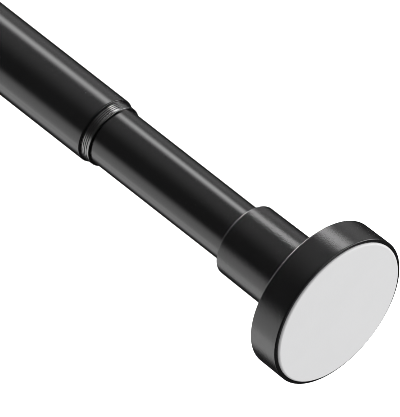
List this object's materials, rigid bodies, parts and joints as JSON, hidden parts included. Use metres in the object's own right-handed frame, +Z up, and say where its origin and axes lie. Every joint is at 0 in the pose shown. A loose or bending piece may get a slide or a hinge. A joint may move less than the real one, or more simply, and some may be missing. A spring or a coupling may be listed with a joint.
{
  "type": "extendable shower curtain rod",
  "caption": "Telescopic tension rod for a shower curtain: a thin tube slides from a thick one, twist-locks inside it, and a spring presses the padded round end caps against facing walls.",
  "frame": {"origin": "centre of the pad's face at the thick tube's end, where it meets the wall", "axes": "+X along the rod's axis, from the thick tube's end towards the thin tube's end; +Z up"},
  "size_m": [1.1566, 0.0586, 0.0586],
  "materials": {
    "black_tube": "satin black stove enamel",
    "black_bush": "satin moulded black",
    "black_cap": "fine-grained matt black",
    "grey_pad": "smooth matt light grey",
    "natural_nylon": "natural nylon",
    "zinc_steel": "zinc plated",
    "spring_steel": "oiled spring steel",
    "black_rubber": "matt"
  },
  "bodies": {
    "thick_tube": {"outer_tube": "black_tube", "guide_bush": "black_bush", "fixed_end_cap": "black_cap", "fixed_pad": "grey_pad", "fixed_plug": "natural_nylon", "fixed_washer": "zinc_steel", "fixed_screw": "zinc_steel"},
    "collet": {"lock_collet": "natural_nylon", "drag_ring": "black_rubber"},
    "wedge": {"wedge_nut": "natural_nylon"},
    "spindle": {"lock_spindle": "zinc_steel", "shank_washer": "zinc_steel", "thrust_washer": "zinc_steel", "tail_washer": "zinc_steel", "shank_clip": "spring_steel", "journal_clip": "spring_steel", "tail_clip": "spring_steel", "tension_spring": "spring_steel"},
    "thin_tube": {"inner_tube": "black_tube", "drive_plug": "natural_nylon", "moving_end_cap": "black_cap", "moving_pad": "grey_pad", "moving_plug": "natural_nylon", "moving_washer": "zinc_steel", "moving_screw": "zinc_steel"}
  },
  "joints": [
    {"name": "telescope", "type": "slide", "parent": "thick_tube", "child": "collet", "axis": [1, 0, 0], "range_m": [-0.0405, 0.6974]},
    {"name": "twist_lock", "type": "hinge", "parent": "collet", "child": "spindle", "pos_m": [0.1, 0, 0], "axis": [-1, 0, 0], "range_deg": [0, 540]},
    {"name": "wedge_travel", "type": "slide", "parent": "collet", "child": "wedge", "axis": [1, 0, 0], "range_m": [0, 0.00601]},
    {"name": "spring_press", "type": "slide", "parent": "spindle", "child": "thin_tube", "axis": [1, 0, 0], "range_m": [-0.025, 0], "stiffness_N_per_m": 2550, "springref_m": 0.015, "deforming": ["tension_spring"]}
  ],
  "couplings": [
    {"joint": "wedge_travel", "follows": "twist_lock", "m_per_rad": 0.00063662}
  ]
}
